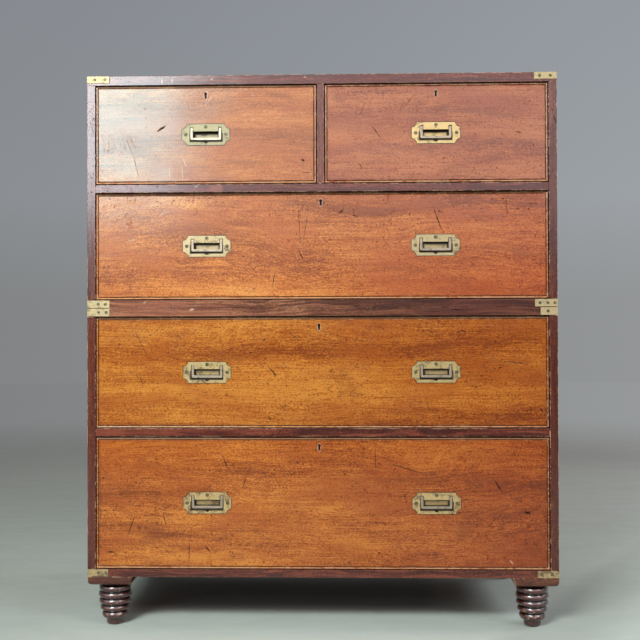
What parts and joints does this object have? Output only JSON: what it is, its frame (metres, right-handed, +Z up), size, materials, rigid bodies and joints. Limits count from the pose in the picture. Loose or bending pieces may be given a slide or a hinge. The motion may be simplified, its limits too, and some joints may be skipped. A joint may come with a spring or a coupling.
{
  "type": "campaign chest of drawers",
  "caption": "Two-part campaign chest in mahogany: stacked carcases with sliding drawers, flush swing handles, brass-strapped corners and turned screw-out feet.",
  "frame": {"origin": "on the floor under the middle of the chest, at the centre of its bounding box's underside", "axes": "+Z up, +X to the right as seen from the front, drawers open along -Y"},
  "size_m": [0.914, 0.457, 1.0794],
  "materials": {
    "drawer_mahogany": "aged french polish over orange-brown mahogany, satin, scratched and dented",
    "carcase_mahogany": "dark red-brown polished mahogany with worn pale edges",
    "turned_mahogany": "dark polished turning, chipped on the rings",
    "drawer_lining": "plain unpolished cedar-coloured lining",
    "back_wood": "dry unpolished back boards",
    "brass": "old brass, dull and unevenly tarnished",
    "lock_brass": "darkened brass"
  },
  "bodies": {
    "lower_carcase": {"lower_top_board": "carcase_mahogany", "lower_bottom_board": "carcase_mahogany", "lower_left_side": "carcase_mahogany", "lower_right_side": "carcase_mahogany", "lower_back_panel": "back_wood", "lower_drawer_rail": "carcase_mahogany", "front_left_foot_block": "carcase_mahogany", "front_right_foot_block": "carcase_mahogany", "rear_left_foot_block": "carcase_mahogany", "rear_right_foot_block": "carcase_mahogany", "lower_top_left_corner_brass": "brass", "lower_top_right_corner_brass": "brass", "bottom_left_corner_brass": "brass", "bottom_right_corner_brass": "brass"},
    "upper_carcase": {"upper_top_board": "carcase_mahogany", "upper_base_board": "carcase_mahogany", "upper_left_side": "carcase_mahogany", "upper_right_side": "carcase_mahogany", "upper_back_panel": "back_wood", "upper_drawer_rail": "carcase_mahogany", "upper_partition": "carcase_mahogany", "top_left_corner_brass": "brass", "top_right_corner_brass": "brass", "upper_base_left_corner_brass": "brass", "upper_base_right_corner_brass": "brass"},
    "front_left_foot": {"front_left_foot": "turned_mahogany"},
    "front_right_foot": {"front_right_foot": "turned_mahogany"},
    "rear_left_foot": {"rear_left_foot": "turned_mahogany"},
    "rear_right_foot": {"rear_right_foot": "turned_mahogany"},
    "left_short_drawer": {"left_short_drawer_front": "drawer_mahogany", "left_short_drawer_box": "drawer_lining", "left_short_drawer_handle_plate": "brass"},
    "left_short_drawer_bail": {"left_short_drawer_bail": "brass"},
    "left_short_drawer_lock_bolt": {"left_short_drawer_lock_bolt": "lock_brass"},
    "right_short_drawer": {"right_short_drawer_front": "drawer_mahogany", "right_short_drawer_box": "drawer_lining", "right_short_drawer_handle_plate": "brass"},
    "right_short_drawer_bail": {"right_short_drawer_bail": "brass"},
    "right_short_drawer_lock_bolt": {"right_short_drawer_lock_bolt": "lock_brass"},
    "upper_long_drawer": {"upper_long_drawer_front": "drawer_mahogany", "upper_long_drawer_box": "drawer_lining", "upper_long_drawer_left_handle_plate": "brass", "upper_long_drawer_right_handle_plate": "brass"},
    "upper_long_drawer_left_bail": {"upper_long_drawer_left_bail": "brass"},
    "upper_long_drawer_right_bail": {"upper_long_drawer_right_bail": "brass"},
    "upper_long_drawer_lock_bolt": {"upper_long_drawer_lock_bolt": "lock_brass"},
    "lower_long_drawer": {"lower_long_drawer_front": "drawer_mahogany", "lower_long_drawer_box": "drawer_lining", "lower_long_drawer_left_handle_plate": "brass", "lower_long_drawer_right_handle_plate": "brass"},
    "lower_long_drawer_left_bail": {"lower_long_drawer_left_bail": "brass"},
    "lower_long_drawer_right_bail": {"lower_long_drawer_right_bail": "brass"},
    "lower_long_drawer_lock_bolt": {"lower_long_drawer_lock_bolt": "lock_brass"},
    "bottom_drawer": {"bottom_drawer_front": "drawer_mahogany", "bottom_drawer_box": "drawer_lining", "bottom_drawer_left_handle_plate": "brass", "bottom_drawer_right_handle_plate": "brass"},
    "bottom_drawer_left_bail": {"bottom_drawer_left_bail": "brass"},
    "bottom_drawer_right_bail": {"bottom_drawer_right_bail": "brass"},
    "bottom_drawer_lock_bolt": {"bottom_drawer_lock_bolt": "lock_brass"}
  },
  "joints": [
    {"name": "upper_carcase_lift", "type": "slide", "parent": "lower_carcase", "child": "upper_carcase", "axis": [0, 0, 1], "range_m": [0, 0.12]},
    {"name": "front_left_foot_draw", "type": "slide", "parent": "lower_carcase", "child": "front_left_foot", "axis": [0, 0, -1], "range_m": [0, 0.045]},
    {"name": "front_right_foot_draw", "type": "slide", "parent": "lower_carcase", "child": "front_right_foot", "axis": [0, 0, -1], "range_m": [0, 0.045]},
    {"name": "rear_left_foot_draw", "type": "slide", "parent": "lower_carcase", "child": "rear_left_foot", "axis": [0, 0, -1], "range_m": [0, 0.045]},
    {"name": "rear_right_foot_draw", "type": "slide", "parent": "lower_carcase", "child": "rear_right_foot", "axis": [0, 0, -1], "range_m": [0, 0.045]},
    {"name": "left_short_drawer_slide", "type": "slide", "parent": "upper_carcase", "child": "left_short_drawer", "axis": [0, -1, 0], "range_m": [0, 0.36]},
    {"name": "left_short_drawer_bail_swing", "type": "hinge", "parent": "left_short_drawer", "child": "left_short_drawer_bail", "pos_m": [-0.224, -0.2263, 0.9741], "axis": [-1, 0, 0], "range_deg": [0, 90]},
    {"name": "left_short_drawer_bolt_throw", "type": "slide", "parent": "left_short_drawer", "child": "left_short_drawer_lock_bolt", "axis": [0, 0, 1], "range_m": [0, 0.0085]},
    {"name": "right_short_drawer_slide", "type": "slide", "parent": "upper_carcase", "child": "right_short_drawer", "axis": [0, -1, 0], "range_m": [0, 0.36]},
    {"name": "right_short_drawer_bail_swing", "type": "hinge", "parent": "right_short_drawer", "child": "right_short_drawer_bail", "pos_m": [0.224, -0.2263, 0.9741], "axis": [-1, 0, 0], "range_deg": [0, 90]},
    {"name": "right_short_drawer_bolt_throw", "type": "slide", "parent": "right_short_drawer", "child": "right_short_drawer_lock_bolt", "axis": [0, 0, 1], "range_m": [0, 0.0085]},
    {"name": "upper_long_drawer_slide", "type": "slide", "parent": "upper_carcase", "child": "upper_long_drawer", "axis": [0, -1, 0], "range_m": [0, 0.36]},
    {"name": "upper_long_drawer_left_bail_swing", "type": "hinge", "parent": "upper_long_drawer", "child": "upper_long_drawer_left_bail", "pos_m": [-0.2225, -0.2263, 0.7561], "axis": [-1, 0, 0], "range_deg": [0, 90]},
    {"name": "upper_long_drawer_right_bail_swing", "type": "hinge", "parent": "upper_long_drawer", "child": "upper_long_drawer_right_bail", "pos_m": [0.2225, -0.2263, 0.7561], "axis": [-1, 0, 0], "range_deg": [0, 90]},
    {"name": "upper_long_drawer_bolt_throw", "type": "slide", "parent": "upper_long_drawer", "child": "upper_long_drawer_lock_bolt", "axis": [0, 0, 1], "range_m": [0, 0.0085]},
    {"name": "lower_long_drawer_slide", "type": "slide", "parent": "lower_carcase", "child": "lower_long_drawer", "axis": [0, -1, 0], "range_m": [0, 0.36]},
    {"name": "lower_long_drawer_left_bail_swing", "type": "hinge", "parent": "lower_long_drawer", "child": "lower_long_drawer_left_bail", "pos_m": [-0.2225, -0.2263, 0.51005], "axis": [-1, 0, 0], "range_deg": [0, 90]},
    {"name": "lower_long_drawer_right_bail_swing", "type": "hinge", "parent": "lower_long_drawer", "child": "lower_long_drawer_right_bail", "pos_m": [0.2225, -0.2263, 0.51005], "axis": [-1, 0, 0], "range_deg": [0, 90]},
    {"name": "lower_long_drawer_bolt_throw", "type": "slide", "parent": "lower_long_drawer", "child": "lower_long_drawer_lock_bolt", "axis": [0, 0, 1], "range_m": [0, 0.0085]},
    {"name": "bottom_drawer_slide", "type": "slide", "parent": "lower_carcase", "child": "bottom_drawer", "axis": [0, -1, 0], "range_m": [0, 0.36]},
    {"name": "bottom_drawer_left_bail_swing", "type": "hinge", "parent": "bottom_drawer", "child": "bottom_drawer_left_bail", "pos_m": [-0.2225, -0.2263, 0.2563], "axis": [-1, 0, 0], "range_deg": [0, 90]},
    {"name": "bottom_drawer_right_bail_swing", "type": "hinge", "parent": "bottom_drawer", "child": "bottom_drawer_right_bail", "pos_m": [0.2225, -0.2263, 0.2563], "axis": [-1, 0, 0], "range_deg": [0, 90]},
    {"name": "bottom_drawer_bolt_throw", "type": "slide", "parent": "bottom_drawer", "child": "bottom_drawer_lock_bolt", "axis": [0, 0, 1], "range_m": [0, 0.0085]}
  ]
}
